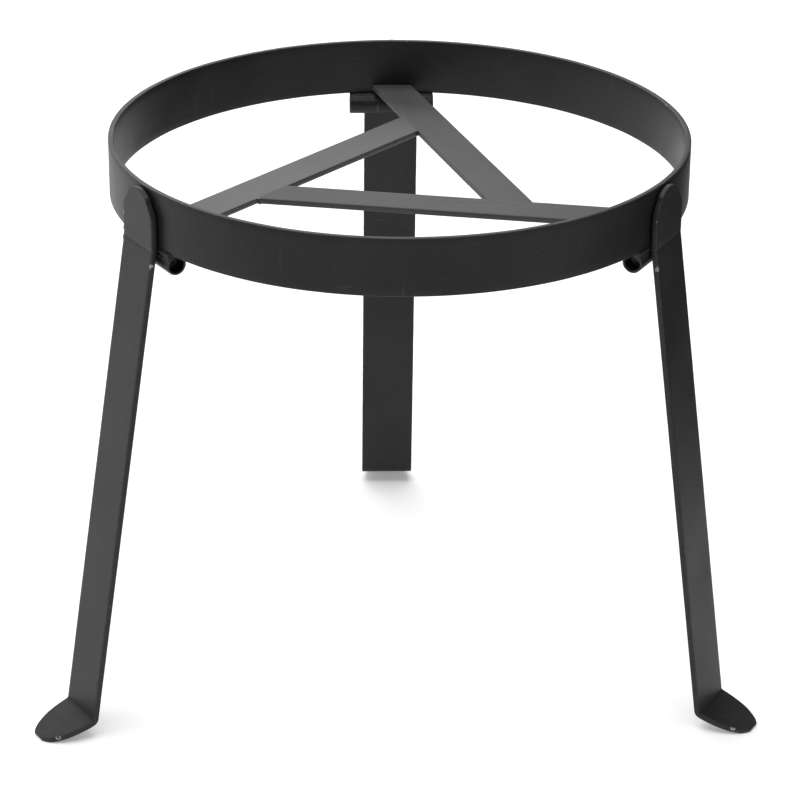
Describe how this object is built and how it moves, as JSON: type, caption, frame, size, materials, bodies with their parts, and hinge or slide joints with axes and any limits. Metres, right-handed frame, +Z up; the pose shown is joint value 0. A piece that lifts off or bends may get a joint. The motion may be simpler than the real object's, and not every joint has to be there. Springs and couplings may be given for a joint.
{
  "type": "folding hoop stand",
  "caption": "Low round stand: a flat-bar hoop with crossed rest bars, on splayed legs that hinge under the hoop and fold flat beneath it.",
  "frame": {"origin": "on the floor, in the middle of the stand's outer box; the hoop's axis is 31.8 mm from it towards -Y and 2.4 mm towards +X", "axes": "+Z up; +Y towards the rear leg; +X to the right when seen from the front"},
  "size_m": [0.3786, 0.3636, 0.2935],
  "materials": {
    "black_paint": "matt black paint on mild steel",
    "pin_steel": "plain drawn steel, dull"
  },
  "bodies": {
    "hoop_frame": {"hoop": "black_paint", "rest_bar_rear": "black_paint", "rest_bar_left": "black_paint", "rest_bar_right": "black_paint", "rest_bar_welds_rear": "black_paint", "rest_bar_welds_left": "black_paint", "rest_bar_welds_right": "black_paint", "hoop_knuckle_rear_a": "black_paint", "hoop_knuckle_rear_b": "black_paint", "hoop_knuckle_left_a": "black_paint", "hoop_knuckle_left_b": "black_paint", "hoop_knuckle_right_a": "black_paint", "hoop_knuckle_right_b": "black_paint", "hoop_knuckle_welds_rear": "black_paint", "hoop_knuckle_welds_left": "black_paint", "hoop_knuckle_welds_right": "black_paint"},
    "leg_rear_body": {"leg_rear": "black_paint", "leg_knuckle_rear": "black_paint", "leg_weld_rear": "black_paint", "hinge_pin_rear": "pin_steel"},
    "leg_left_body": {"leg_left": "black_paint", "leg_knuckle_left": "black_paint", "leg_weld_left": "black_paint", "hinge_pin_left": "pin_steel"},
    "leg_right_body": {"leg_right": "black_paint", "leg_knuckle_right": "black_paint", "leg_weld_right": "black_paint", "hinge_pin_right": "pin_steel"}
  },
  "joints": [
    {"name": "leg_rear_fold", "type": "hinge", "parent": "hoop_frame", "child": "leg_rear_body", "pos_m": [0.00243, 0.11271, 0.2575], "axis": [-1, 0, 0], "range_deg": [0, 99.6]},
    {"name": "leg_left_fold", "type": "hinge", "parent": "hoop_frame", "child": "leg_left_body", "pos_m": [-0.12195, -0.10535, 0.2575], "axis": [0.509, -0.8607, 0], "range_deg": [0, 98.9]},
    {"name": "leg_right_fold", "type": "hinge", "parent": "hoop_frame", "child": "leg_right_body", "pos_m": [0.12668, -0.10556, 0.2575], "axis": [0.5105, 0.8599, 0], "range_deg": [0, 95.5]}
  ]
}
